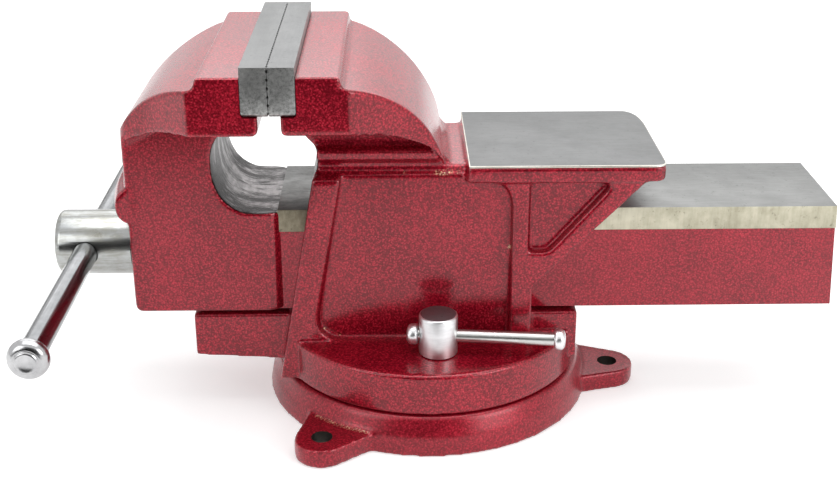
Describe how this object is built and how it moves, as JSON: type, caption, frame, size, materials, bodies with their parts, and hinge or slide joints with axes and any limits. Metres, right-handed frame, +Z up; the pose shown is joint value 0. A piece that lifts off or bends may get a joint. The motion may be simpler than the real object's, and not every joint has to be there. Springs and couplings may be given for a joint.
{
  "type": "bench vise",
  "caption": "Swivel-base bench vise with a sliding jaw, T-bar spindle, rear anvil and two T-bar swivel locks.",
  "frame": {"origin": "swivel axis at the underside of the swivel base, where the vise stands on the bench", "axes": "+X along the slide towards the anvil end, +Y across the jaws, +Z up"},
  "size_m": [0.4539, 0.306, 0.218],
  "materials": {
    "red_paint": "red hammered paint on cast iron",
    "jaw_steel": "ground steel",
    "black_steel": "blackened steel",
    "bronze": "cast bronze",
    "chrome": "polished chrome",
    "satin_chrome": "satin chrome"
  },
  "bodies": {
    "base": {"swivel_base": "red_paint"},
    "static_jaw": {"static_jaw_casting": "red_paint", "rear_jaw_plate": "jaw_steel", "rear_plate_screw_near": "black_steel", "rear_plate_screw_far": "black_steel", "spindle_nut": "bronze", "nut_bolt_front": "black_steel", "nut_bolt_rear": "black_steel", "lock_bolt_front": "black_steel", "lock_bolt_rear": "black_steel"},
    "sliding_jaw": {"sliding_jaw_casting": "red_paint", "front_jaw_plate": "jaw_steel", "front_plate_screw_near": "black_steel", "front_plate_screw_far": "black_steel"},
    "spindle": {"spindle": "chrome", "thrust_washer": "satin_chrome", "spindle_collar": "black_steel", "collar_pin": "satin_chrome"},
    "spindle_bar": {"spindle_bar": "chrome", "spindle_bar_cap_near": "chrome", "spindle_bar_cap_far": "chrome"},
    "lock_nut_front": {"lock_nut_front": "satin_chrome"},
    "lock_bar_front": {"lock_bar_front": "satin_chrome", "lock_bar_cap_inner_front": "satin_chrome", "lock_bar_cap_outer_front": "satin_chrome"},
    "lock_nut_rear": {"lock_nut_rear": "satin_chrome"},
    "lock_bar_rear": {"lock_bar_rear": "satin_chrome", "lock_bar_cap_inner_rear": "satin_chrome", "lock_bar_cap_outer_rear": "satin_chrome"}
  },
  "joints": [
    {"name": "swivel", "type": "hinge", "parent": "base", "child": "static_jaw", "pos_m": [0, 0, 0.02], "axis": [0, 0, 1], "continuous": true},
    {"name": "jaw_slide", "type": "slide", "parent": "static_jaw", "child": "sliding_jaw", "axis": [-1, 0, 0], "range_m": [0, 0.15]},
    {"name": "spindle_turn", "type": "hinge", "parent": "sliding_jaw", "child": "spindle", "pos_m": [-0.2, 0, 0.091], "axis": [-1, 0, 0], "range_deg": [0, 10800]},
    {"name": "spindle_bar_slide", "type": "slide", "parent": "spindle", "child": "spindle_bar", "axis": [0, 1, 0], "range_m": [-0.123, 0.123]},
    {"name": "lock_nut_front_turn", "type": "hinge", "parent": "static_jaw", "child": "lock_nut_front", "pos_m": [0.0044, -0.06134, 0.06], "axis": [0, 0, 1], "range_deg": [-179, 9]},
    {"name": "lock_bar_front_slide", "type": "slide", "parent": "lock_nut_front", "child": "lock_bar_front", "axis": [-0.9949, 0.1011, 0], "range_m": [0, 0.053]},
    {"name": "lock_nut_rear_turn", "type": "hinge", "parent": "static_jaw", "child": "lock_nut_rear", "pos_m": [-0.0044, 0.06134, 0.06], "axis": [0, 0, 1], "range_deg": [-179, 9]},
    {"name": "lock_bar_rear_slide", "type": "slide", "parent": "lock_nut_rear", "child": "lock_bar_rear", "axis": [0.9949, -0.1011, 0], "range_m": [0, 0.053]}
  ],
  "couplings": [
    {"joint": "jaw_slide", "follows": "spindle_turn", "m_per_rad": 0.00079577}
  ]
}
